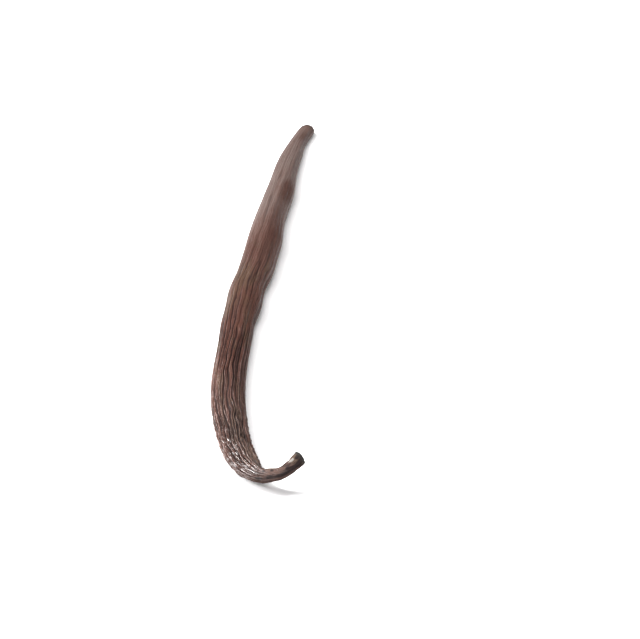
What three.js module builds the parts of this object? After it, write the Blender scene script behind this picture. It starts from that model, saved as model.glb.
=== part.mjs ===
// Vanilla pod: one cured pod lying down, with its hooked stalk end towards -Y and its tip towards +Y.
// Millimetres. +Z is up, the pod lies on z = 0, and the origin is under the middle of its outline.

import * as THREE from "three";

// The middle line of the pod, from the cut of the stalk to the tip: x, y and height above the surface.
// The stalk hooks round to +X and rises clear of the surface, and the body lies in a long slack curve.
const SPINE_POINTS = [
  [7.8, -80.4, 9.3],
  [5.8, -82.7, 8.4],
  [3.4, -83.8, 7.2],
  [0.8, -83.5, 5.8],
  [-1.7, -82.3, 4.6],
  [-4.4, -79.7, 3.9],
  [-6.6, -75.8, 3.5],
  [-8.6, -70.8, 3.35],
  [-11.0, -59.0, 3.5],
  [-12.0, -46.0, 3.6],
  [-11.0, -28.0, 3.6],
  [-8.7, -8.0, 3.8],
  [-5.5, 8.3, 3.9],
  [-2.9, 27.2, 3.7],
  [0.3, 46.0, 3.3],
  [3.6, 65.5, 2.65],
  [6.9, 79.0, 2.2],
  [9.6, 85.6, 2.1],
];

// Size of the section along the pod: distance from the cut of the stalk, width and height.
// The stalk flares at its cut, narrows to a neck, and swells into a body that is wider than it is high.
const SECTIONS = [
  [0.0, 3.9, 3.8],
  [2.2, 3.3, 3.2],
  [5.5, 3.0, 3.0],
  [9.0, 3.2, 3.1],
  [12.0, 3.7, 3.4],
  [15.5, 5.2, 4.3],
  [19.5, 6.6, 5.2],
  [24.5, 7.6, 5.9],
  [31.0, 8.1, 6.3],
  [40.0, 8.6, 6.6],
  [50.0, 8.9, 6.8],
  [68.0, 8.8, 6.8],
  [80.0, 9.3, 7.0],
  [90.0, 9.9, 7.3],
  [104.0, 10.0, 7.4],
  [124.0, 9.5, 7.0],
  [134.0, 9.0, 6.6],
  [144.0, 8.4, 6.2],
  [156.0, 7.1, 5.5],
  [168.0, 5.9, 4.7],
  [176.0, 5.1, 4.2],
  [180.0, 4.8, 4.1],
  [186.0, 4.6, 4.0],
];

const TIP_ROUNDING = 2.4; // length of the blunt round end of the tip
const PRESSED_FLAT = 0.25; // how far the soft underside gives where it lies on the surface
const CUT_RECESS = 0.45; // depth of the dished face at the cut of the stalk
const CUT_RIM = 0.7; // rounding of the rim round the cut
const CUT_SLANT = 0.4; // how far back the cut leans on one side, and forward on the other
const CUT_LEANS_BACK_AT = 4.05; // angle round the stalk where it leans back, from the right-hand side
const LEAN_FADES_BY = 4; // the lean fades out this far along the stalk

// The skin has shrunk into long folds. Each family runs round the section as so many round-backed ridges
// with creases between them, wanders sideways along the pod, and is as deep as its share of the fold depth.
const FOLD_FAMILIES = [
  { ridges: 3, share: 0.42, start: 1.9, wander: 0.35, every: 47 },
  { ridges: 7, share: 0.36, start: 0.6, wander: 0.8, every: 29 },
  { ridges: 11, share: 0.22, start: 2.7, wander: 1.1, every: 21 },
];
const FOLD_DEPTHS = [
  [0, 0.1],
  [8, 0.14],
  [18, 0.34],
  [34, 0.42],
  [60, 0.34],
  [100, 0.36],
  [140, 0.3],
  [170, 0.2],
  [186, 0.12],
];
const FOLD_TWIST = 0.004; // radians that the folds turn round the pod for each millimetre along it

// Lumps and dents that break the outline: distance along, angle round from the right-hand side,
// reach along, reach round in radians, and height, which is below 0 for a dent.
const LUMPS = [
  [3, 0.9, 2.2, 0.8, 0.3],
  [9.5, 1.0, 1.6, 0.7, 0.2],
  [14.5, 0.6, 2.2, 0.8, -0.35],
  [78, 3.1, 5.0, 0.9, 0.25],
  [80, 0.1, 4.0, 0.9, -0.4],
  [87, 0.2, 4.0, 0.9, 0.2],
  [95, 3.0, 5.0, 0.9, 0.35],
  [97, 0.1, 5.0, 0.9, -0.7],
  [119, 0.2, 6.0, 0.9, 0.6],
  [131, 0.2, 5.0, 0.9, -0.25],
  [146, 0.1, 6.0, 0.9, 0.4],
  [163, 3.1, 9.0, 0.9, 0.5],
  [174, 0.0, 4.0, 1.0, -0.25],
];

// Fineness of the mesh: sides round the pod, and the longest step along it up to each distance.
const SIDES = 40;
const STEPS = [
  { until: 30, step: 1.25 },
  { until: 170, step: 2.3 },
  { until: 999, step: 1.4 },
];
const TIP_RINGS = 5;

const SKIN_COLOUR = 0x4f3630;

const spine = new THREE.CatmullRomCurve3(
  SPINE_POINTS.map(([x, y, z]) => new THREE.Vector3(x, y, z)),
);
spine.arcLengthDivisions = 800;
const podLength = spine.getLength();

// Value of one column of a table at a distance along the pod, on a smooth curve through its rows.
function along(table, column, distance) {
  const last = table.length - 1;
  const s = Math.min(Math.max(distance, table[0][0]), table[last][0]);
  let row = 0;
  while (row < last - 1 && s > table[row + 1][0]) row += 1;
  const slope = (i) => {
    const before = table[Math.max(i - 1, 0)];
    const after = table[Math.min(i + 1, last)];
    return (after[column] - before[column]) / (after[0] - before[0]);
  };
  const [from, to] = [table[row], table[row + 1]];
  const span = to[0] - from[0];
  const t = (s - from[0]) / span;
  const rise = to[column] - from[column];
  const a = slope(row) * span - rise;
  const b = rise - slope(row + 1) * span;
  return from[column] + rise * t + t * (1 - t) * (a * (1 - t) + b * t);
}

// A round-backed ridge with a sharp crease on each side, from -1 in the crease to 1 on the back.
function ridge(phase) {
  return 2 * Math.abs(Math.cos(phase / 2)) - 1;
}

// How far the folds lift or sink the skin at an angle round the pod.
function foldHeight(angle, distance) {
  const turned = angle + FOLD_TWIST * distance;
  const relief = FOLD_FAMILIES.reduce((sum, family) => {
    const drift = family.wander * Math.sin(distance / family.every + family.start);
    return sum + family.share * ridge(family.ridges * turned + drift + family.start);
  }, 0);
  return along(FOLD_DEPTHS, 1, distance) * relief;
}

// Shortest way round from one angle to another.
function turnBetween(from, to) {
  return Math.atan2(Math.sin(to - from), Math.cos(to - from));
}

// How far the lumps and dents lift or sink the skin.
function lumpHeight(angle, distance) {
  return LUMPS.reduce((sum, [at, round, reachAlong, reachRound, height]) => {
    const a = (distance - at) / reachAlong;
    const b = turnBetween(round, angle) / reachRound;
    return sum + height * Math.exp(-(a * a + b * b));
  }, 0);
}

// A point of the skin: the angle runs from the right-hand side over the top, and fill is 1 on the skin
// and 0 on the middle line.
function skinPoint(distance, angle, fill) {
  const u = Math.min(Math.max(distance / podLength, 0), 1);
  const middle = spine.getPointAt(u);
  const forward = spine.getTangentAt(u);
  const right = forward.clone().cross(new THREE.Vector3(0, 0, 1)).normalize();
  const up = right.clone().cross(forward);
  const relief = foldHeight(angle, distance) + lumpHeight(angle, distance);
  const halfWidth = along(SECTIONS, 1, distance) / 2 + relief;
  const halfHeight = along(SECTIONS, 2, distance) / 2 + relief;
  const beyond = distance - u * podLength;
  return middle
    .addScaledVector(forward, beyond)
    .addScaledVector(right, fill * halfWidth * Math.cos(angle))
    .addScaledVector(up, fill * halfHeight * Math.sin(angle));
}

// Outline of a straight pod of radius 1, from the dished cut to the tip: fill across, distance up.
function straightOutline() {
  const outline = [
    new THREE.Vector2(0, CUT_RECESS),
    new THREE.Vector2(0.45, CUT_RECESS * 0.8),
    new THREE.Vector2(0.65, CUT_RECESS * 0.2),
    new THREE.Vector2(0.76, 0),
    new THREE.Vector2(0.88, CUT_RIM * 0.15),
    new THREE.Vector2(0.97, CUT_RIM * 0.5),
    new THREE.Vector2(1, CUT_RIM),
  ];
  const roundFrom = podLength - TIP_ROUNDING;
  let distance = CUT_RIM;
  while (distance < roundFrom) {
    const { step } = STEPS.find(({ until }) => distance < until);
    distance = Math.min(distance + step, roundFrom);
    outline.push(new THREE.Vector2(1, distance));
  }
  for (let ring = 1; ring <= TIP_RINGS; ring += 1) {
    const turn = (ring / TIP_RINGS) * (Math.PI / 2);
    const fill = ring < TIP_RINGS ? Math.cos(turn) : 0;
    outline.push(new THREE.Vector2(fill, roundFrom + TIP_ROUNDING * Math.sin(turn)));
  }
  return outline;
}

// Bends the straight pod onto its middle line, folds its skin and presses its underside flat.
function podGeometry() {
  const geometry = new THREE.LatheGeometry(straightOutline(), SIDES);
  const position = geometry.getAttribute("position");
  for (let i = 0; i < position.count; i += 1) {
    const [x, distance, z] = [position.getX(i), position.getY(i), position.getZ(i)];
    const fill = Math.hypot(x, z);
    const angle = Math.atan2(z, x);
    const nearCut = Math.max(1 - distance / LEAN_FADES_BY, 0);
    const lean = CUT_SLANT * fill * nearCut * Math.cos(angle - CUT_LEANS_BACK_AT);
    const point = skinPoint(distance + lean, angle, fill);
    position.setXYZ(i, point.x, point.y, Math.max(point.z, PRESSED_FLAT));
  }
  geometry.computeBoundingBox();
  const { min, max } = geometry.boundingBox;
  geometry.translate(-(min.x + max.x) / 2, -(min.y + max.y) / 2, -min.z);
  geometry.computeVertexNormals();
  return geometry;
}

const pod = new THREE.Mesh(
  podGeometry(),
  new THREE.MeshStandardMaterial({ color: SKIN_COLOUR, roughness: 0.45, metalness: 0 }),
);
pod.name = "pod";

const vanillaPod = new THREE.Group();
vanillaPod.add(pod);

export default vanillaPod;
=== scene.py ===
"""Vanilla pod: the finished skin of one cured pod, with a pale floor, soft lights and a camera."""

import math

import bpy
import numpy as np
from bpy.props import FloatProperty, FloatVectorProperty, IntProperty, PointerProperty
from mathutils import Matrix, Vector


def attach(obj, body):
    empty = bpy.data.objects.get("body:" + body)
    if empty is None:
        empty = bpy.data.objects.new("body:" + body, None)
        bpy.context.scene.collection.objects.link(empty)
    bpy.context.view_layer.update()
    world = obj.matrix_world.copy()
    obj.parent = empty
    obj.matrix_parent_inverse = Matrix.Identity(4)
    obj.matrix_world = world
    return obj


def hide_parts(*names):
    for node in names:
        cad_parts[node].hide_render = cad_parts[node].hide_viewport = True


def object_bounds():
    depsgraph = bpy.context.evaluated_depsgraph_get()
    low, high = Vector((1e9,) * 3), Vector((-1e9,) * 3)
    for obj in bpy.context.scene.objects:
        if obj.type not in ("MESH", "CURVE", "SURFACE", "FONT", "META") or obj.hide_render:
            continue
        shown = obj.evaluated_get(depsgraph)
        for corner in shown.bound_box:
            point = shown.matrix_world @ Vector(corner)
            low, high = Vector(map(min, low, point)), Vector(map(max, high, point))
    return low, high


bl_info = {
    "name": "Vanilla pod",
    "version": (1, 0, 0),
    "blender": (4, 5, 0),
    "location": "3D View > Sidebar > Vanilla pod",
    "description": "Makes a cured vanilla pod over its measured solid, with a floor, lights and a camera",
    "category": "Add Mesh",
}

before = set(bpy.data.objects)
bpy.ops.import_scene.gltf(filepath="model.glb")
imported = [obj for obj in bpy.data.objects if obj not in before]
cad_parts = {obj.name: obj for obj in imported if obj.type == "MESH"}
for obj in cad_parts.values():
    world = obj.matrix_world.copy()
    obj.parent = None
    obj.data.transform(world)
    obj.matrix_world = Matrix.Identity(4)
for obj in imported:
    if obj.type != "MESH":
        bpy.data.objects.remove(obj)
SOLID_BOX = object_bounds()

MM = 0.001  # metres in a millimetre
TURN = 2 * math.pi

# The middle line of the pod in mm, from the cut of the stalk to the tip: x, y and height above the surface.
SPINE_POINTS = [
    (7.8, -80.4, 9.3),
    (5.8, -82.7, 8.4),
    (3.4, -83.8, 7.2),
    (0.8, -83.5, 5.8),
    (-1.7, -82.3, 4.6),
    (-4.4, -79.7, 3.9),
    (-6.6, -75.8, 3.5),
    (-8.6, -70.8, 3.35),
    (-11.0, -59.0, 3.5),
    (-12.0, -46.0, 3.6),
    (-11.0, -28.0, 3.6),
    (-8.7, -8.0, 3.8),
    (-5.5, 8.3, 3.9),
    (-2.9, 27.2, 3.7),
    (0.3, 46.0, 3.3),
    (3.6, 65.5, 2.65),
    (6.9, 79.0, 2.2),
    (9.6, 85.6, 2.1),
]

# Size of the section along the pod in mm: distance from the cut of the stalk, width and height.
SECTIONS = [
    (0.0, 3.9, 3.8),
    (2.2, 3.3, 3.2),
    (5.5, 3.0, 3.0),
    (9.0, 3.2, 3.1),
    (12.0, 3.7, 3.4),
    (15.5, 5.2, 4.3),
    (19.5, 6.6, 5.2),
    (24.5, 7.6, 5.9),
    (31.0, 8.1, 6.3),
    (40.0, 8.6, 6.6),
    (50.0, 8.9, 6.8),
    (68.0, 8.8, 6.8),
    (80.0, 9.3, 7.0),
    (90.0, 9.9, 7.3),
    (104.0, 10.0, 7.4),
    (124.0, 9.5, 7.0),
    (134.0, 9.0, 6.6),
    (144.0, 8.4, 6.2),
    (156.0, 7.1, 5.5),
    (168.0, 5.9, 4.7),
    (176.0, 5.1, 4.2),
    (180.0, 4.8, 4.1),
    (186.0, 4.6, 4.0),
]

TIP_ROUNDING = 2.4  # length of the blunt round end of the tip
PRESSED_FLAT = 0.25  # how far the soft underside gives where it lies on the surface
CUT_RECESS = 0.45  # depth of the dished face at the cut of the stalk
CUT_RIM = 0.7  # rounding of the rim round the cut
CUT_SLANT = 0.4  # how far back the cut leans on one side, and forward on the other
CUT_LEANS_BACK_AT = 4.05  # angle round the stalk where it leans back, from the right-hand side
LEAN_FADES_BY = 4  # the lean fades out this far along the stalk
CUT_FACE = 0.76  # share of the stalk's width that the dished face takes up
DISH_MIDDLE = 0.2  # share of the dished face that lies inside its first ring
DISH_CURVE = 0.6  # shape of the dish: below 1 its floor is flat and its wall steep

# Long folds in the shrunken skin: ridges round the section, share of the depth, start, wander and its length.
FOLD_FAMILIES = [
    (3, 0.42, 1.9, 0.35, 47),
    (7, 0.36, 0.6, 0.8, 29),
    (11, 0.22, 2.7, 1.1, 21),
]
# How deep the folds are along the pod, in mm.
FOLD_DEPTHS = [
    (0, 0.1),
    (8, 0.14),
    (18, 0.34),
    (34, 0.42),
    (60, 0.34),
    (100, 0.36),
    (140, 0.3),
    (170, 0.2),
    (186, 0.12),
]
FOLD_TWIST = 0.004  # radians that the folds turn round the pod for each millimetre along it

# Lumps and dents: distance along, angle round from the right-hand side, reach along, reach round and height.
LUMPS = [
    (3, 0.9, 2.2, 0.8, 0.3),
    (9.5, 1.0, 1.6, 0.7, 0.2),
    (14.5, 0.6, 2.2, 0.8, -0.35),
    (78, 3.1, 5.0, 0.9, 0.25),
    (80, 0.1, 4.0, 0.9, -0.4),
    (87, 0.2, 4.0, 0.9, 0.2),
    (95, 3.0, 5.0, 0.9, 0.35),
    (97, 0.1, 5.0, 0.9, -0.7),
    (119, 0.2, 6.0, 0.9, 0.6),
    (131, 0.2, 5.0, 0.9, -0.25),
    (146, 0.1, 6.0, 0.9, 0.4),
    (163, 3.1, 9.0, 0.9, 0.5),
    (174, 0.0, 4.0, 1.0, -0.25),
]

# Wrinkles: creases round the pod, mm that one runs before it fades or comes back, and how deep it cuts.
WRINKLES = [
    (23, 34, 0.75),
    (47, 22, 0.55),
    (85, 10, 0.30),
]
CREASES_START = 21  # radians by which the first row of creases is turned, and each next row by 1 more
DEEPEST_CUT = 0.95  # the most that a crease takes off the height of a wrinkle
# How much the creases crowd together: cells round the pod, cells' length in mm, and radians that they shift.
CROWDING = [
    (8, 40, 2.2),
    (19, 16, 1.1),
]
# How the wrinkles swerve sideways: waves round the pod, mm from one to the next, and radians sideways in the
# body and, last, in the bend.
SWERVES = [
    (4, 22, 0.13, 0.16),
    (9, 6, 0.07, 0.11),
    (20, 3.0, 0.03, 0.06),
]
# How deep the wrinkles are along the pod in mm: deep where the body bends into the stalk, slight at the tip.
WRINKLE_DEPTHS = [
    (0, 0.06),
    (8, 0.12),
    (14, 0.46),
    (20, 0.92),
    (34, 0.96),
    (44, 0.68),
    (60, 0.50),
    (76, 0.27),
    (94, 0.20),
    (118, 0.17),
    (150, 0.14),
    (172, 0.12),
    (186, 0.08),
]
BEND_AT = 24  # middle of the bend, in mm along the pod
BEND_REACH = 18  # how far the bend's stronger swerves reach on each side of it, in mm
LEVEL_SKIN = 0.7  # height of a wrinkle at which it is level with the plain section
PLAIN_SKIN = 0.66  # height of a wrinkle at which the skin has its plain colour
DEEP_ENOUGH = 0.5  # wrinkles of this depth in mm, and deeper ones, get the full painted shade in their furrows
# How high the small knots are along the pod, in mm. They sit on the ridges and break the light on them.
KNOTS = [
    (0, 0.02),
    (9, 0.04),
    (15, 0.14),
    (24, 0.20),
    (36, 0.14),
    (50, 0.05),
    (70, 0.02),
    (100, 0.0),
    (186, 0.0),
]
# Sizes of the knots: cells round the pod, cells' length in mm, and share of the height.
KNOT_SIZES = [
    (24, 2.6, 0.5),
    (44, 1.3, 1.0),
]
STALK_LUMPS = 0.20  # height in mm of the lumps on the stalk, which fade out into the body
# Sizes of the stalk's lumps, in the same way.
STALK_LUMP_SIZES = [
    (5, 2.1, 1.0),
    (11, 0.9, 0.5),
]

# Seeds of the random fields: one for each row of a table, counted up from the table's first.
SWERVE_SEED = 11
CREASE_SEED = 31
KNOT_SEED = 41
STALK_LUMP_SEED = 45
CROWDING_SEED = 51
SPARE_CELLS = 2  # cells of a random field that lie before the cut, with twice as many past the tip
FIELD_GAIN = 1.6  # makes a random field reach from about -1 to 1

# Places on the skin, all given in one way: distance along in mm, angle round from the right-hand side, reach
# along in mm, reach round, and strength. These ones are darker and redder than the skin round them.
BLUSHES = [
    (176, 1.2, 3.0, 0.5, 0.7),
    (146, 0.95, 3.5, 0.45, 1.0),
    (141, 0.85, 4.5, 0.55, 1.0),
    (132, 1.05, 7.0, 0.35, 0.6),
    (122, 1.0, 6.5, 0.6, 1.0),
    (112, 1.4, 9.0, 1.0, 0.7),
    (108, 2.4, 6.0, 0.6, 0.6),
    (84, 1.3, 13.0, 1.0, 0.65),
    (56, 0.7, 13.0, 0.8, 0.3),
    (16, 3.2, 5.0, 0.6, 0.9),
]
# Nearly black marks along the stalk: a broken band of painted shade on its lower side, and dark stains higher
# up.
STALK_SHADE_AND_STAINS = [
    (1.4, 2.5, 1.7, 0.36, 1.0),
    (4.0, 2.6, 1.9, 0.4, 1.0),
    (6.8, 2.75, 1.7, 0.38, 0.9),
    (9.6, 2.6, 1.2, 0.4, 0.8),
    (12.2, 2.9, 1.6, 0.3, 0.7),
    (1.3, 1.7, 0.9, 0.35, 0.75),
    (4.6, 2.0, 0.7, 0.25, 0.7),
    (5.6, 1.1, 0.8, 0.3, 0.6),
    (8.6, 1.6, 0.9, 0.35, 0.7),
    (11.4, 1.7, 1.0, 0.35, 0.7),
]
# Olive brown places.
OLIVE_PLACES = [
    (1.9, 2.0, 1.1, 0.8, 1.0),
    (10.0, 0.9, 4.0, 0.4, 0.8),
    (20, 1.0, 6.0, 0.7, 1.0),
    (30, 1.2, 7.0, 0.5, 0.8),
    (66, 1.5, 6.0, 0.3, 0.8),
    (80, 2.6, 9.0, 0.4, 0.8),
    (96, 2.1, 9.0, 0.7, 1.0),
]
# Painted highlights on the stalk, as pale spots.
PAINTED_HIGHLIGHTS = [
    (2.9, 1.35, 1.0, 0.4, 1.0),
    (7.0, 1.6, 0.8, 0.3, 0.62),
]
# Where handling has polished the skin, and where its ridges are paler, partly worn and partly painted
# highlight.
HANDLED = [
    (15, 2.1, 5.0, 0.6, 1.0),
    (21, 2.4, 6.0, 0.8, 1.0),
    (29, 2.6, 7.0, 0.8, 1.0),
    (40, 2.8, 8.0, 0.6, 0.9),
    (58, 2.9, 12.0, 0.4, 0.45),
    (84, 2.9, 16.0, 0.4, 0.3),
]
# Painted grey sheen, and how pale the ridges are, partly worn and partly painted highlight: distance along in
# mm, and strength of each.
SHEEN_AND_RIDGE_PALING = [
    (0, 0.10, 0.6),
    (8, 0.12, 0.7),
    (16, 0.20, 0.75),
    (30, 0.30, 0.85),
    (46, 0.14, 0.62),
    (58, 0.04, 0.50),
    (70, 0.0, 0.36),
    (84, 0.05, 0.38),
    (100, 0.16, 0.34),
    (118, 0.42, 0.28),
    (136, 0.85, 0.2),
    (176, 0.85, 0.2),
    (186, 0.5, 0.2),
]
UNHANDLED_RIDGE_PALING = 0.6  # share of the ridges' paleness, wear and painted highlight, that they have where nothing has handled them
STALK_FADES_BY = 17  # the colour of the stalk has gone this far along, in mm
CUT_EDGE = 12  # sharpness of the edge of the cut's colour
CUT_COLOUR_REACH = 1.5  # the cut's colour has gone this far along the skin, in mm
CUT_COLOUR_SHARE = 0.9  # the most of the cut's colour that the skin beside it takes on
TIP_COLOUR_REACH = 3  # the same colour comes back over this length at the tip, in mm
TIP_COLOUR_SHARE = 0.6

# Longest step between rings in mm, up to each distance along the pod, and rings in its rounded parts.
STEPS = [
    (1.2, 0.15),
    (48, 0.45),
    (999, 0.64),
]
DISH_RINGS = 6
RIM_RINGS = 6
TIP_RINGS = 10
NEARLY_THERE = 1e-6  # a gap in mm that is too small for one more ring
BAKE_CUT_SHARE = 0.03  # share of the bake map's width that the cut takes up

# Noise over the skin: scale across the pod and along it in cells for each mm, detail, roughness, distortion.
PATTERNS = {
    "streaks": (0.95, 0.09, 4.0, 0.65, 0.3),
    "threads": (1.8, 0.22, 3.0, 0.65, 0.4),
    "grain": (9.0, 3.5, 3.0, 0.6, 0.0),
    "broad": (0.24, 0.07, 3.0, 0.55, 0.0),
    "tinge": (0.4, 0.10, 3.0, 0.55, 0.5),
    "blotches": (1.0, 0.5, 3.0, 0.6, 0.4),
    "flecks": (1.3, 0.7, 3.0, 0.75, 0.0),
    "speckles": (2.2, 1.4, 2.0, 0.6, 0.0),
}
# How a height, a pattern or a sum of them shows on the skin: the value where the change starts and the value
# where it stops, then the strength at the first and at the second.
MARKINGS = {
    # Painted shade: where the height is low the skin takes the dark crease colour.
    "open skin": (0.90, 1.14, 0.0, 1.0),
    # Paler ridges, partly worn and partly painted highlight.
    "ridge": (1.21, 1.40, 0.0, 1.0),
    "rubbed ridge": (0.40, 0.56, 0.15, 1.0),
    "between lines": (0.36, 0.47, 0.0, 1.0),
    # Painted shade in fine lines, hairlines and pits.
    "line": (0.0, 1.0, 0.56, 0.0),
    "hairline": (0.36, 0.46, 0.34, 0.0),
    "pit": (0.36, 0.48, 0.5, 0.0),
    "dark patch": (0.46, 0.62, 0.0, 0.45),
    "olive patch": (0.52, 0.68, 0.0, 0.6),
    # Painted grey sheen.
    "painted_sheen": (0.3, 0.6, 0.55, 1.0),
    "stalk blotch": (0.43, 0.56, 1.0, 0.0),
    "blush": (0.35, 0.55, 0.6, 0.8),
    # Painted shade along the stalk's lower side, with dark stains.
    "shade_and_stain": (1.0, 1.22, 0.0, 0.95),
    # Painted highlights on the stalk.
    "pale spot": (0.98, 1.12, 0.0, 0.85),
    "oil": (0.35, 0.6, 0.4, 1.0),
    "uneven gloss": (0.3, 0.7, -0.06, 0.08),
    "dull end": (0.0, 1.0, 0.0, 0.2),
    "texture under oil": (0.0, 1.0, 1.0, 0.4),
}
# Marks that the mesh keeps for each of its points, which the material reads.
MARKS = ("relief", "creased", "painted_sheen", "ridge_paling", "stalk", "cut", "blush", "shade_and_stain", "olive", "pale", "polish")
RAGGED_HEIGHT = 0.5  # how much the streaks, and the threads, add to the height that colours the skin
STALK_TINT = 0.9  # how much of its own colour the stalk takes on
OLIVE_PULL = 0.2  # how much an olive place adds to the tinge
STAIN_RAGGEDNESS = 0.6  # how much the blotches, and the flecks, break up the stalk's painted shade and stains
SPOT_RAGGEDNESS = 0.9  # how much the flecks break up the painted highlights on the stalk
BUMP_HEIGHTS = (0.22, 0.10, 0.03)  # bumps in mm: the rumples, the threads and the grain
SKIN_SPECULAR = 0.32  # strength of the open skin's own reflections
OIL_ROUGHNESS = 0.11  # roughness of the oily coat

FLOOR_ROUGHNESS = 0.9
FLOOR_SPECULAR = 0.1
# Soft lights: name, place and size in metres, and power as a share of the key light's.
LAMPS = [
    ("overhead_strip", (-0.20, -0.02, 0.62), (1.0, 0.17), 1.0),
    ("glint_lamp", (-0.34, 0.03, 0.60), (0.10, 0.10), 0.6),
    ("front_lamp", (-0.40, -0.32, 0.52), (0.05, 0.05), 0.1875),
    ("left_box", (-0.66, 0.00, 0.34), (0.30, 0.26), 0.75),
    ("right_fill", (0.75, -0.10, 0.28), (0.5, 0.4), 0.325),
    ("front_fill", (0.10, -0.75, 0.52), (0.6, 0.4), 0.15),
]
ROOM_COLOUR = (1.0, 0.97, 0.95)
PICTURE_GAMMA = 0.85  # below 1 the picture's middle tones are darker


class VanillaPodSkin(bpy.types.PropertyGroup):
    """Fineness, relief and colours of the pod's skin."""

    sides: IntProperty(name="Sides", description="Faces round the pod", default=288, min=24, max=400)
    wrinkle_strength: FloatProperty(
        name="Wrinkles", description="Depth of the wrinkles against the real ones", default=1.0, min=0, max=2
    )
    # Painted shade in the creases, also the colour of the stalk's dark blotches and stains.
    crease_shade_and_blotch_colour: FloatVectorProperty(
        name="Furrows", description="Colour down in the creases", subtype="COLOR", size=3,
        default=(0.0115, 0.0034, 0.0027), min=0, max=1,
    )
    skin_colour: FloatVectorProperty(
        name="Skin", description="Colour of the open skin", subtype="COLOR", size=3,
        default=(0.0740, 0.0318, 0.0222), min=0, max=1,
    )
    # Paler ridges: partly worn, partly painted highlight.
    pale_ridge_and_highlight_colour: FloatVectorProperty(
        name="Ridges", description="Colour where handling has dried the ridges", subtype="COLOR", size=3,
        default=(0.3800, 0.2950, 0.2800), min=0, max=1,
    )
    blush_colour: FloatVectorProperty(
        name="Dark patches", description="Colour of the darker and redder places", subtype="COLOR", size=3,
        default=(0.0420, 0.0166, 0.0117), min=0, max=1,
    )
    olive_colour: FloatVectorProperty(
        name="Olive patches", description="Colour of the olive brown places", subtype="COLOR", size=3,
        default=(0.0680, 0.0455, 0.0260), min=0, max=1,
    )
    stalk_colour: FloatVectorProperty(
        name="Stalk", description="Colour of the greyer skin of the stalk", subtype="COLOR", size=3,
        default=(0.0580, 0.0352, 0.0268), min=0, max=1,
    )
    # Painted grey sheen towards the tip and in the bend.
    painted_sheen_colour: FloatVectorProperty(
        name="Bloom", description="Colour of the dry grey bloom towards the tip", subtype="COLOR", size=3,
        default=(0.1020, 0.0780, 0.0705), min=0, max=1,
    )
    cut_colour: FloatVectorProperty(
        name="Cut", description="Colour of the dry cut of the stalk", subtype="COLOR", size=3,
        default=(0.0210, 0.0192, 0.0162), min=0, max=1,
    )
    # Painted highlights on the stalk.
    painted_highlight_colour: FloatVectorProperty(
        name="Pale spots", description="Colour of the pale spots on the stalk", subtype="COLOR", size=3,
        default=(0.205, 0.19, 0.175), min=0, max=1,
    )
    roughness: FloatProperty(
        name="Roughness", description="Roughness of the open skin", default=0.5, min=0, max=1,
        subtype="FACTOR",
    )
    polished_roughness: FloatProperty(
        name="Polished", description="Roughness where the skin is oily", default=0.22, min=0, max=1,
        subtype="FACTOR",
    )
    oil: FloatProperty(
        name="Oil", description="Strength of the oily coat on handled skin", default=0.85, min=0, max=1,
        subtype="FACTOR",
    )


class VanillaPodStage(bpy.types.PropertyGroup):
    """The floor, the lights and the camera."""

    floor_size: FloatProperty(name="Floor", description="Side of the floor", default=6.0, unit="LENGTH")
    floor_colour: FloatVectorProperty(
        name="Floor colour", description="Colour of the pale floor", subtype="COLOR", size=3,
        default=(0.84, 0.84, 0.845), min=0, max=1,
    )
    key_power: FloatProperty(
        name="Key light", description="Power of the long soft light overhead, which the others follow",
        default=8.0, min=0, unit="POWER",
    )
    room_light: FloatProperty(
        name="Room light", description="Strength of the even light from all round", default=0.22, min=0
    )
    camera_place: FloatVectorProperty(
        name="Camera place", description="Where the camera stands", subtype="TRANSLATION", size=3,
        default=(0.0157, -0.489, 0.3729),
    )
    camera_tilt: FloatProperty(
        name="Camera angle", description="How far the camera looks down", default=math.radians(38),
        subtype="ANGLE",
    )
    lens: FloatProperty(
        name="Lens", description="Focal length of the camera in mm", default=120, min=1, unit="CAMERA"
    )


def spine_samples(points, per_span=60):
    """Points on a smooth curve through the given ones, spaced by the square root of the gaps between them."""
    stops = np.array(points, float)
    before_first = 2 * stops[0] - stops[1]
    after_last = 2 * stops[-1] - stops[-2]
    stops = np.vstack([before_first, stops, after_last])
    gaps = np.sqrt(np.linalg.norm(np.diff(stops, axis=0), axis=1))
    samples = []
    for i in range(1, len(stops) - 2):
        before, at, after, beyond = stops[i - 1 : i + 3]
        g0, g1, g2 = gaps[i - 1 : i + 2]
        leave = ((at - before) / g0 - (after - before) / (g0 + g1) + (after - at) / g1) * g1
        arrive = ((after - at) / g1 - (beyond - at) / (g1 + g2) + (beyond - after) / g2) * g1
        t = np.linspace(0, 1, per_span, endpoint=False)[:, None]
        rise = after - at
        bend = (3 * rise - 2 * leave - arrive) * t**2
        samples.append(at + leave * t + bend + (leave + arrive - 2 * rise) * t**3)
    return np.vstack([*samples, stops[-2:-1]])


SPINE = spine_samples(SPINE_POINTS)
SPINE_AT = np.concatenate([[0], np.cumsum(np.linalg.norm(np.diff(SPINE, axis=0), axis=1))])
POD_LENGTH = SPINE_AT[-1]
SPINE_FORWARD = np.gradient(SPINE, SPINE_AT, axis=0)
SPINE_FORWARD /= np.linalg.norm(SPINE_FORWARD, axis=1)[:, None]


def on_spine(samples, distance):
    """Rows of a table of spine samples at some distances along the pod."""
    return np.stack([np.interp(distance, SPINE_AT, samples[:, k]) for k in range(3)], axis=-1)


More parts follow.
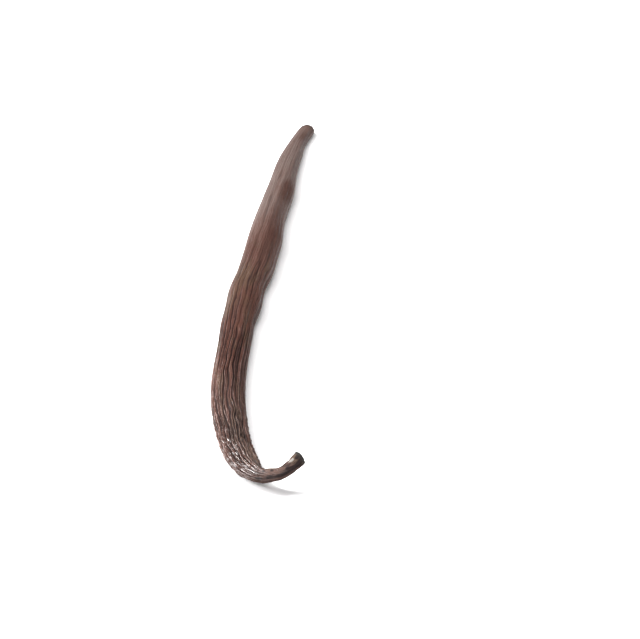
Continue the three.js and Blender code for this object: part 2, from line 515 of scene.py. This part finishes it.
def along(table, column, distance):
    """One column of a table at some distances along the pod, on a smooth curve through its rows."""
    rows = np.array(table, float)
    at, value = rows[:, 0], rows[:, column]
    last = len(at) - 1
    row = np.arange(last + 1)
    before, after = np.maximum(row - 1, 0), np.minimum(row + 1, last)
    slope = (value[after] - value[before]) / (at[after] - at[before])
    s = np.clip(distance, at[0], at[-1])
    i = np.clip(np.searchsorted(at, s, side="left") - 1, 0, last - 1)
    span = at[i + 1] - at[i]
    t = (s - at[i]) / span
    rise = value[i + 1] - value[i]
    a = slope[i] * span - rise
    b = rise - slope[i + 1] * span
    return value[i] + rise * t + t * (1 - t) * (a * (1 - t) + b * t)


def ridge(phase):
    """A round-backed ridge with a sharp crease on each side, from -1 in the crease to 1 on the back."""
    return 2 * np.abs(np.cos(phase / 2)) - 1


def fold_height(angle, distance):
    """How far the long folds lift or sink the skin, in mm."""
    turned = angle + FOLD_TWIST * distance
    relief = 0
    for ridges, share, start, wander, every in FOLD_FAMILIES:
        relief = relief + share * ridge(ridges * turned + wander * np.sin(distance / every + start) + start)
    return along(FOLD_DEPTHS, 1, distance) * relief


def places(table, angle, distance):
    """Sum of soft round places: each row says where, along and round, its reach both ways and its height."""
    total = np.zeros_like(angle)
    for at, round_to, reach_along, reach_round, height in table:
        turn = np.arctan2(np.sin(angle - round_to), np.cos(angle - round_to))
        total += height * np.exp(-(((distance - at) / reach_along) ** 2 + (turn / reach_round) ** 2))
    return total


def soft_step(share):
    """Goes from 0 to 1 as its share does, but sets off and stops softly."""
    return share**3 * (share * (share * 6 - 15) + 10)


def field(angle, distance, around, every, seed):
    """A smooth random field, mostly from -1 to 1, that closes round the pod: its cells are one in `around`
    of the way round and `every` mm long."""
    rng = np.random.default_rng(seed)
    rows = int(POD_LENGTH / every) + 3 * SPARE_CELLS
    heading = rng.uniform(0, TURN, (rows, around))
    cells_round = angle / TURN * around
    cells_along = np.maximum(distance / every + SPARE_CELLS, 0)
    column, row = np.floor(cells_round).astype(int), np.floor(cells_along).astype(int)
    across, onward = cells_round - column, cells_along - row

    def corner(to_side, ahead):
        """Height that one corner of a cell gives, from the way its slope heads."""
        turn = heading[(row + ahead) % rows, (column + to_side) % around]
        return np.cos(turn) * (across - to_side) + np.sin(turn) * (onward - ahead)

    blend_across, blend_onward = soft_step(across), soft_step(onward)
    near = corner(0, 0) * (1 - blend_across) + corner(1, 0) * blend_across
    far = corner(0, 1) * (1 - blend_across) + corner(1, 1) * blend_across
    return FIELD_GAIN * (near * (1 - blend_onward) + far * blend_onward)


def summed_fields(table, angle, distance, first_seed):
    """Random fields on top of each other: each row of the table has cells round, cells' length and share."""
    total = 0
    for seed, (around, every, share) in enumerate(table, start=first_seed):
        total = total + share * field(angle, distance, around, every, seed)
    return total


def wrinkle_height(angle, distance):
    """Height of the wrinkles before their depth, from about 0 in a crease to 1 on the back of a ridge."""
    turned = angle + FOLD_TWIST * distance
    bend = np.exp(-(((distance - BEND_AT) / BEND_REACH) ** 2))
    for seed, (waves, every, in_body, in_bend) in enumerate(SWERVES, start=SWERVE_SEED):
        sideways = in_body + (in_bend - in_body) * bend
        turned = turned + sideways * field(angle, distance, waves, every, seed)
    crowding = summed_fields(CROWDING, turned, distance, CROWDING_SEED)
    fewest = WRINKLES[0][0]
    height = 1
    for row, (creases, every, cut) in enumerate(WRINKLES):
        start = CREASES_START + row
        phase = creases * turned + crowding * creases / fewest + start
        strength = 1 + field(turned, distance, creases // 2, every, CREASE_SEED + row)
        height = height * (1 - np.clip(cut * strength, 0, DEEPEST_CUT) * (1 - np.abs(np.sin(phase / 2))))
    return height


def patches(table, angle, distance):
    """How strongly a table of places marks the skin, from 0 to 1."""
    return np.clip(places(table, angle, distance), 0, 1)


def pod_rings():
    """Rings of the skin from the middle of the cut to the tip: distance along in mm and fill across."""
    rings = []
    for share in np.linspace(DISH_MIDDLE, 1, DISH_RINGS):
        rings.append((CUT_RECESS * (1 - share) ** DISH_CURVE, CUT_FACE * share))
    for turn in np.linspace(0, math.pi / 2, RIM_RINGS + 1)[1:]:
        rings.append((CUT_RIM * (1 - math.cos(turn)), CUT_FACE + (1 - CUT_FACE) * math.sin(turn)))
    round_from = POD_LENGTH - TIP_ROUNDING
    distance = CUT_RIM
    while distance < round_from - NEARLY_THERE:
        step = next(step for until, step in STEPS if distance < until)
        distance = min(distance + step, round_from)
        rings.append((distance, 1.0))
    for ring in range(1, TIP_RINGS):
        turn = ring / TIP_RINGS * math.pi / 2
        rings.append((round_from + TIP_ROUNDING * math.sin(turn), math.cos(turn)))
    return np.array(rings)


def stalk_share(distance):
    """How much a place along the pod belongs to the stalk: 1 at the cut, fading out into the body."""
    return np.clip(1 - distance / STALK_FADES_BY, 0, 1)


def skin_relief(angle, distance, wrinkle, depth):
    """Height of the skin over the plain section, in mm: folds, lumps, wrinkles, knots and stalk lumps."""
    knots = along(KNOTS, 1, distance) * summed_fields(KNOT_SIZES, angle, distance, KNOT_SEED)
    stalk_lumps = summed_fields(STALK_LUMP_SIZES, angle, distance, STALK_LUMP_SEED)
    knots = knots + STALK_LUMPS * stalk_share(distance) * stalk_lumps
    wrinkled = depth * (wrinkle - LEVEL_SKIN)
    return fold_height(angle, distance) + places(LUMPS, angle, distance) + wrinkled + knots


def skin_points(distance, angle, fill, relief):
    """Points of the skin in mm, with its height over the plain section already worked out."""
    near_cut = np.clip(1 - distance / LEAN_FADES_BY, 0, 1)
    leaning = distance + CUT_SLANT * fill * near_cut * np.cos(angle - CUT_LEANS_BACK_AT)
    within = np.maximum(leaning, 0)
    before_cut = np.minimum(leaning, 0)
    forward = on_spine(SPINE_FORWARD, within)
    middle = on_spine(SPINE, within) + before_cut[..., None] * forward
    right = np.cross(forward, (0, 0, 1))
    right /= np.linalg.norm(right, axis=-1)[..., None]
    up = np.cross(right, forward)
    half_width = along(SECTIONS, 1, within) / 2 + relief
    half_height = along(SECTIONS, 2, within) / 2 + relief
    across = (fill * half_width * np.cos(angle))[..., None] * right
    upward = (fill * half_height * np.sin(angle))[..., None] * up
    points = middle + across + upward
    points[..., 2] = np.maximum(points[..., 2], PRESSED_FLAT)
    return points


def end_points():
    """The middle of the cut and the very tip, in mm."""
    nothing = np.zeros(2)
    return skin_points(np.array([CUT_RECESS, POD_LENGTH]), nothing, nothing, nothing)


def fit_in_box(points, low, high):
    """Moves points, and stretches them by a hair, so that they fill the solid's box exactly."""
    own_low, own_high = points.min(0), points.max(0)
    scale = (np.array(high) - np.array(low)) / (own_high - own_low)
    return (points - own_low) * scale + np.array(low)


def ring_faces(count, sides):
    """Faces between so many rings, and a fan of triangles that closes each end."""
    ring, side = np.meshgrid(np.arange(count - 1), np.arange(sides), indexing="ij")
    here = ring * sides + side
    beside = ring * sides + (side + 1) % sides
    quads = np.stack([here, beside, beside + sides, here + sides], -1)
    turn = np.arange(sides)
    next_turn = (turn + 1) % sides
    last_ring = (count - 1) * sides
    cut_middle = np.full(sides, count * sides)
    cut_fan = np.stack([cut_middle, next_turn, turn], -1)
    tip_fan = np.stack([last_ring + turn, last_ring + next_turn, cut_middle + 1], -1)
    return [*quads.reshape(-1, 4).tolist(), *cut_fan.tolist(), *tip_fan.tolist()]


def skin_marks(angle, distance, fill, wrinkle, depth):
    """The MARKS all over the skin, each with its value in the middle of the cut and at the very tip."""
    shown = np.clip(depth / DEEP_ENOUGH, 0, 1)
    handled = patches(HANDLED, angle, distance)
    paling_share = UNHANDLED_RIDGE_PALING + (1 - UNHANDLED_RIDGE_PALING) * handled
    on_cut = np.clip((1 - fill) * CUT_EDGE, 0, 1) * (distance < CUT_RIM)
    near_cut = np.clip(CUT_COLOUR_REACH - distance, 0, CUT_COLOUR_SHARE)
    near_tip = np.clip((distance - POD_LENGTH) / TIP_COLOUR_REACH + 1, 0, TIP_COLOUR_SHARE)
    return {
        # relief and creased say where painted shade darkens the creases.
        "relief": (PLAIN_SKIN + (wrinkle - PLAIN_SKIN) * shown, 0.5, 0.5),
        "creased": (shown, 0.0, 0.2),
        # Painted grey sheen, and paler ridges: partly worn, partly painted highlight.
        "painted_sheen": (along(SHEEN_AND_RIDGE_PALING, 1, distance), 0.0, 0.5),
        "ridge_paling": (along(SHEEN_AND_RIDGE_PALING, 2, distance) * paling_share, 0.0, 0.3),
        "stalk": (stalk_share(distance), 1.0, 0.0),
        "cut": (np.maximum(on_cut, near_cut + near_tip), 1.0, TIP_COLOUR_SHARE),
        "blush": (patches(BLUSHES, angle, distance), 0.0, 0.0),
        # Painted shade and stains on the stalk.
        "shade_and_stain": (patches(STALK_SHADE_AND_STAINS, angle, distance), 0.0, 0.0),
        "olive": (patches(OLIVE_PLACES, angle, distance), 0.0, 0.0),
        # Painted highlights on the stalk.
        "pale": (patches(PAINTED_HIGHLIGHTS, angle, distance), 0.0, 0.0),
        "polish": (handled, 0.0, 0.0),
    }


def save_marks(mesh, marks):
    """Keeps the marks of the skin on the points of its mesh."""
    for name, (values, at_cut, at_tip) in marks.items():
        attribute = mesh.attributes.new(name, "FLOAT", "POINT")
        numbers = np.concatenate([values.reshape(-1), [at_cut, at_tip]])
        attribute.data.foreach_set("value", numbers.astype(np.float32))


def save_skin_place(mesh, angle, distance, fill):
    """Keeps where each point would be, in mm, if the pod were straight, so that patterns follow its bends."""
    across = along(SECTIONS, 1, distance) / 2 * fill
    place = np.stack([across * np.cos(angle), across * np.sin(angle), distance], -1)
    place = np.vstack([place.reshape(-1, 3), [[0, 0, CUT_RECESS], [0, 0, POD_LENGTH]]])
    attribute = mesh.attributes.new("skin_place", "FLOAT_VECTOR", "POINT")
    attribute.data.foreach_set("vector", place.astype(np.float32).ravel())


def whole_numbers(items, name):
    """One whole number of each of a mesh's items."""
    numbers = np.empty(len(items), np.int32)
    items.foreach_get(name, numbers)
    return numbers


def save_bake_map(mesh, count, sides, distance):
    """Unrolls the skin into a strip: along the pod from left to right, once round it from bottom to top."""
    end_rings = DISH_RINGS + RIM_RINGS
    ring_u = BAKE_CUT_SHARE + (1 - BAKE_CUT_SHARE) * np.clip(distance / POD_LENGTH, 0, 1)
    ring_u[:end_rings] = np.linspace(0, ring_u[end_rings - 1], end_rings + 1)[1:]
    vertex = whole_numbers(mesh.loops, "vertex_index")
    corners = whole_numbers(mesh.polygons, "loop_total")
    face = np.repeat(np.arange(len(corners)), corners)
    ring, side = np.divmod(vertex, sides)
    is_end = vertex >= count * sides
    u = np.where(is_end, vertex - count * sides, ring_u[np.minimum(ring, count - 1)])

    first_side = np.full(len(corners), sides)
    np.minimum.at(first_side, face, np.where(is_end, sides, side))
    last_side = np.full(len(corners), -1)
    np.maximum.at(last_side, face, np.where(is_end, -1, side))
    crosses_seam = last_side - first_side > 1
    between = np.where(crosses_seam, sides - 0.5, first_side + 0.5)
    v = np.where(crosses_seam[face] & (side == 0), sides, side)
    v = np.where(is_end, between[face], v) / sides
    layer = mesh.uv_layers.new(name="OFBake")
    layer.data.foreach_set("uv", np.stack([u, v], -1).astype(np.float32).ravel())


def pod_mesh(look):
    """The skin as one closed mesh, with its bake map and the marks that its material reads."""
    rings = pod_rings()
    count, sides = len(rings), look.sides
    angle = np.arange(sides) / sides * TURN
    distance, angle = np.meshgrid(rings[:, 0], angle, indexing="ij")
    fill = np.repeat(rings[:, 1:2], sides, axis=1)
    wrinkle = wrinkle_height(angle, distance)
    depth = along(WRINKLE_DEPTHS, 1, distance) * look.wrinkle_strength
    relief = skin_relief(angle, distance, wrinkle, depth)
    points = np.vstack([skin_points(distance, angle, fill, relief).reshape(-1, 3), end_points()])
    points = fit_in_box(points * MM, *SOLID_BOX)
    mesh = bpy.data.meshes.new("pod_skin")
    mesh.from_pydata(points.tolist(), [], ring_faces(count, sides))
    mesh.validate()
    save_marks(mesh, skin_marks(angle, distance, fill, wrinkle, depth))
    save_skin_place(mesh, angle, distance, fill)
    save_bake_map(mesh, count, sides, rings[:, 0])
    mesh.shade_smooth()
    return mesh


def add_node(tree, kind, inputs=(), **settings):
    """Adds one shader node: settings are its own, and inputs are (socket, value or output) pairs."""
    node = tree.nodes.new(kind)
    for name, value in settings.items():
        setattr(node, name, value)
    for socket, value in inputs:
        if isinstance(value, bpy.types.NodeSocket):
            tree.links.new(value, node.inputs[socket])
        else:
            node.inputs[socket].default_value = value
    return node


def mix_colour(tree, factor, first, second):
    """Mixes two colours, each a colour or an output, by a factor."""
    inputs = [(0, factor)]
    for socket, colour in ((6, first), (7, second)):
        is_output = isinstance(colour, bpy.types.NodeSocket)
        inputs.append((socket, colour if is_output else (*colour, 1)))
    return add_node(tree, "ShaderNodeMix", inputs, data_type="RGBA", clamp_factor=True).outputs[2]


def mix_number(tree, factor, first, second):
    """Mixes two numbers, each a number or an output, by a factor."""
    inputs = ((0, factor), (2, first), (3, second))
    return add_node(tree, "ShaderNodeMix", inputs, data_type="FLOAT").outputs[0]


def sums(tree, operation, a, b=0.0, c=0.0):
    """One step of arithmetic on numbers or outputs."""
    return add_node(tree, "ShaderNodeMath", ((0, a), (1, b), (2, c)), operation=operation).outputs[0]


def spread(tree, value, from_low, from_high, to_low, to_high):
    """Maps a value from one range to another, clamped, with soft ends."""
    inputs = ((0, value), (1, from_low), (2, from_high), (3, to_low), (4, to_high))
    return add_node(tree, "ShaderNodeMapRange", inputs, interpolation_type="SMOOTHSTEP").outputs[0]


def marking(tree, name, value):
    """How strongly one of the MARKINGS shows for a value."""
    return spread(tree, value, *MARKINGS[name])


def skin_mark_outputs(tree):
    """The marks of the skin as outputs, by name."""
    marks = {}
    for name in MARKS:
        marks[name] = add_node(tree, "ShaderNodeAttribute", attribute_name=name).outputs["Fac"]
    return marks


def skin_patterns(tree):
    """The PATTERNS as outputs, by name. Each is noise that follows the pod along its bends."""
    place = add_node(tree, "ShaderNodeAttribute", attribute_name="skin_place").outputs["Vector"]
    patterns = {}
    for name, (across, lengthways, detail, roughness, distortion) in PATTERNS.items():
        scale = (across, across, lengthways)
        stretched = add_node(tree, "ShaderNodeVectorMath", ((0, place), (1, scale)), operation="MULTIPLY")
        inputs = ((0, stretched.outputs[0]), (2, 1.0), (3, detail), (4, roughness), (8, distortion))
        patterns[name] = add_node(tree, "ShaderNodeTexNoise", inputs, noise_dimensions="3D").outputs[0]
    return patterns


def wrinkled_colour(tree, look, mark, pattern):
    """Colour of the skin on its ridges and in its furrows: painted shade in the furrows and in fine dark
    lines and pits of creased skin, and ridges paler from wear and painted highlight.
    """
    stalk_tint = sums(tree, "MULTIPLY", mark["stalk"], STALK_TINT)
    colour = mix_colour(tree, stalk_tint, look.skin_colour, look.stalk_colour)
    colour = mix_colour(tree, marking(tree, "dark patch", pattern["broad"]), colour, look.blush_colour)
    tinged = sums(tree, "MULTIPLY_ADD", mark["olive"], OLIVE_PULL, pattern["tinge"])
    colour = mix_colour(tree, marking(tree, "olive patch", tinged), colour, look.olive_colour)

    height = sums(tree, "MULTIPLY_ADD", pattern["streaks"], RAGGED_HEIGHT, mark["relief"])
    height = sums(tree, "MULTIPLY_ADD", pattern["threads"], RAGGED_HEIGHT, height)
    # Paler ridges, partly worn and partly painted highlight.
    paled_ridges = marking(tree, "rubbed ridge", pattern["flecks"])
    paled_ridges = sums(tree, "MULTIPLY", marking(tree, "ridge", height), paled_ridges)
    colour = mix_colour(tree, sums(tree, "MULTIPLY", paled_ridges, mark["ridge_paling"]), colour, look.pale_ridge_and_highlight_colour)
    # Painted shade: low skin takes the dark crease colour.
    colour = mix_colour(tree, marking(tree, "open skin", height), look.crease_shade_and_blotch_colour, colour)

    # Painted shade in fine lines, hairlines and pits of creased skin.
    between_lines = marking(tree, "between lines", pattern["streaks"])
    between_lines = mix_number(tree, mark["creased"], 1.0, between_lines)
    colour = mix_colour(tree, marking(tree, "line", between_lines), colour, look.crease_shade_and_blotch_colour)
    for name, source in (("hairline", "threads"), ("pit", "speckles")):
        shown = sums(tree, "MULTIPLY", mark["creased"], marking(tree, name, pattern[source]))
        colour = mix_colour(tree, shown, colour, look.crease_shade_and_blotch_colour)
    return colour


def marked_colour(tree, look, mark, pattern, colour):
    """Adds the painted grey sheen, the stalk's blotches, the dark patches, the stalk's painted shade and
    stains, the painted highlights on the stalk and the cut.
    """
    # Painted grey sheen.
    dry = sums(tree, "MULTIPLY", mark["painted_sheen"], marking(tree, "painted_sheen", pattern["streaks"]))
    colour = mix_colour(tree, dry, colour, look.painted_sheen_colour)
    blotched = sums(tree, "MULTIPLY", mark["stalk"], marking(tree, "stalk blotch", pattern["blotches"]))
    colour = mix_colour(tree, blotched, colour, look.crease_shade_and_blotch_colour)
    blushed = sums(tree, "MULTIPLY", mark["blush"], marking(tree, "blush", pattern["tinge"]))
    colour = mix_colour(tree, blushed, colour, look.blush_colour)
    # Painted shade along the stalk's lower side, with dark stains.
    ragged = sums(tree, "MULTIPLY_ADD", pattern["blotches"], STAIN_RAGGEDNESS, mark["shade_and_stain"])
    ragged = sums(tree, "MULTIPLY_ADD", pattern["flecks"], STAIN_RAGGEDNESS, ragged)
    colour = mix_colour(tree, marking(tree, "shade_and_stain", ragged), colour, look.crease_shade_and_blotch_colour)
    # Painted highlights on the stalk.
    ragged = sums(tree, "MULTIPLY_ADD", pattern["flecks"], SPOT_RAGGEDNESS, mark["pale"])
    colour = mix_colour(tree, marking(tree, "pale spot", ragged), colour, look.painted_highlight_colour)
    return mix_colour(tree, mark["cut"], colour, look.cut_colour)


def skin_roughness(tree, look, mark, pattern, oily):
    """Roughness of the skin: polished where it is oily, a little uneven, and duller on stalk and cut."""
    rough = spread(tree, oily, 0.0, 1.0, look.roughness, look.polished_roughness)
    rough = sums(tree, "ADD", rough, marking(tree, "uneven gloss", pattern["flecks"]))
    ends = sums(tree, "MAXIMUM", mark["cut"], mark["stalk"])
    return sums(tree, "ADD", rough, marking(tree, "dull end", ends))


def skin_bumps(tree, mark, pattern, oily):
    """Rumples, threads and grain on top of each other, softer under the oil. The stalk rumples in flecks."""
    strength = marking(tree, "texture under oil", oily)
    rumples = mix_number(tree, mark["stalk"], pattern["streaks"], pattern["flecks"])
    inputs = [("Strength", strength)]
    for height, bump_height in zip((rumples, pattern["threads"], pattern["grain"]), BUMP_HEIGHTS):
        bump = add_node(tree, "ShaderNodeBump", (*inputs, ("Distance", bump_height * MM), ("Height", height)))
        inputs = [("Strength", strength), ("Normal", bump.outputs[0])]
    return bump.outputs[0]


def skin_material(look):
    """Dark brown, oily, wrinkled skin: painted shade in the furrows, ridges paler from wear and painted
    highlight, and a painted grey sheen towards the tip.
    """
    material = bpy.data.materials.new("cured_pod_skin")
    material.use_nodes = True
    tree = material.node_tree
    tree.nodes.clear()
    mark = skin_mark_outputs(tree)
    pattern = skin_patterns(tree)
    colour = wrinkled_colour(tree, look, mark, pattern)
    colour = marked_colour(tree, look, mark, pattern, colour)
    oily = sums(tree, "MULTIPLY", mark["polish"], marking(tree, "oil", pattern["flecks"]))
    inputs = (
        ("Base Color", colour),
        ("Roughness", skin_roughness(tree, look, mark, pattern, oily)),
        ("Normal", skin_bumps(tree, mark, pattern, oily)),
        ("Specular IOR Level", SKIN_SPECULAR),
        ("Coat Weight", sums(tree, "MULTIPLY", oily, look.oil)),
        ("Coat Roughness", OIL_ROUGHNESS),
    )
    shader = add_node(tree, "ShaderNodeBsdfPrincipled", inputs)
    add_node(tree, "ShaderNodeOutputMaterial", (("Surface", shader.outputs[0]),))
    return material


def floor_material(stage):
    """Matt pale floor."""
    material = bpy.data.materials.new("pale_floor")
    material.use_nodes = True
    shader = material.node_tree.nodes["Principled BSDF"]
    shader.inputs["Base Color"].default_value = (*stage.floor_colour, 1)
    shader.inputs["Roughness"].default_value = FLOOR_ROUGHNESS
    shader.inputs["Specular IOR Level"].default_value = FLOOR_SPECULAR
    return material


def add_floor(stage):
    """A pale square floor under the pod."""
    half = stage.floor_size / 2
    corners = [(-half, -half, 0), (half, -half, 0), (half, half, 0), (-half, half, 0)]
    mesh = bpy.data.meshes.new("floor")
    mesh.from_pydata(corners, [], [(0, 1, 2, 3)])
    mesh.materials.append(floor_material(stage))
    floor = bpy.data.objects.new("floor", mesh)
    bpy.context.collection.objects.link(floor)


def add_softbox(name, place, size, power):
    """A soft light at a place, facing the pod, with its long side level and along X."""
    light = bpy.data.lights.new(name, "AREA")
    light.shape = "RECTANGLE"
    light.size, light.size_y = size
    light.energy = power
    away = Vector(place).normalized()
    level = (Vector((1, 0, 0)) - away.x * away).normalized()
    turn = Matrix((level, away.cross(level), away)).transposed()
    box = bpy.data.objects.new(name, light)
    box.matrix_world = Matrix.Translation(place) @ turn.to_4x4()
    bpy.context.collection.objects.link(box)


def set_room(scene, stage):
    """Even light from all round, and the picture's tones."""
    world = bpy.data.worlds.new("studio")
    world.use_nodes = True
    background = world.node_tree.nodes["Background"]
    background.inputs["Color"].default_value = (*ROOM_COLOUR, 1)
    background.inputs["Strength"].default_value = stage.room_light
    scene.world = world
    scene.view_settings.view_transform = "Standard"
    scene.view_settings.gamma = PICTURE_GAMMA


def add_camera(scene, stage):
    """The camera, which looks along +Y and down."""
    lens = bpy.data.cameras.new("camera")
    lens.lens = stage.lens
    camera = bpy.data.objects.new("camera", lens)
    camera.location = stage.camera_place
    camera.rotation_euler = (math.pi / 2 - stage.camera_tilt, 0, 0)
    bpy.context.collection.objects.link(camera)
    scene.camera = camera


class VANILLA_OT_make_pod(bpy.types.Operator):
    """Make the wrinkled skin of the pod over its solid"""

    bl_idname = "vanilla.make_pod"
    bl_label = "Make pod"

    def execute(self, context):
        look = context.scene.vanilla_pod_skin
        mesh = pod_mesh(look)
        if not mesh.polygons:
            raise RuntimeError("the pod's skin has no faces")
        mesh.materials.append(skin_material(look))
        pod = bpy.data.objects.new("pod_skin", mesh)
        context.collection.objects.link(pod)
        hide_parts("pod")
        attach(pod, "root")
        return {"FINISHED"}


class VANILLA_OT_make_stage(bpy.types.Operator):
    """Make the pale floor, the soft lights and the camera"""

    bl_idname = "vanilla.make_stage"
    bl_label = "Make floor, lights and camera"

    def execute(self, context):
        stage = context.scene.vanilla_pod_stage
        add_floor(stage)
        for name, place, size, share in LAMPS:
            add_softbox(name, place, size, stage.key_power * share)
        set_room(context.scene, stage)
        add_camera(context.scene, stage)
        return {"FINISHED"}


class VANILLA_PT_panel(bpy.types.Panel):
    """Lists the operators and settings of the vanilla pod"""

    bl_idname = "VANILLA_PT_panel"
    bl_label = "Vanilla pod"
    bl_space_type = "VIEW_3D"
    bl_region_type = "UI"
    bl_category = "Vanilla pod"

    def draw(self, context):
        for operator, group in OPERATORS:
            box = self.layout.box()
            box.operator(operator.bl_idname)
            settings = getattr(context.scene, group)
            for name in settings.bl_rna.properties.keys():
                if name not in ("rna_type", "name"):
                    box.prop(settings, name)


OPERATORS = [
    (VANILLA_OT_make_pod, "vanilla_pod_skin"),
    (VANILLA_OT_make_stage, "vanilla_pod_stage"),
]
CLASSES = [VanillaPodSkin, VanillaPodStage, VANILLA_OT_make_pod, VANILLA_OT_make_stage, VANILLA_PT_panel]


def register():
    """Makes the settings, operators and panel known to Blender."""
    for cls in CLASSES:
        bpy.utils.register_class(cls)
    bpy.types.Scene.vanilla_pod_skin = PointerProperty(type=VanillaPodSkin)
    bpy.types.Scene.vanilla_pod_stage = PointerProperty(type=VanillaPodStage)


def unregister():
    """Takes the settings, operators and panel away again."""
    del bpy.types.Scene.vanilla_pod_stage
    del bpy.types.Scene.vanilla_pod_skin
    for cls in reversed(CLASSES):
        bpy.utils.unregister_class(cls)


def main():
    """Makes the pod and its stage."""
    register()
    bpy.ops.vanilla.make_pod()
    bpy.ops.vanilla.make_stage()


if __name__ == "__main__":
    main()
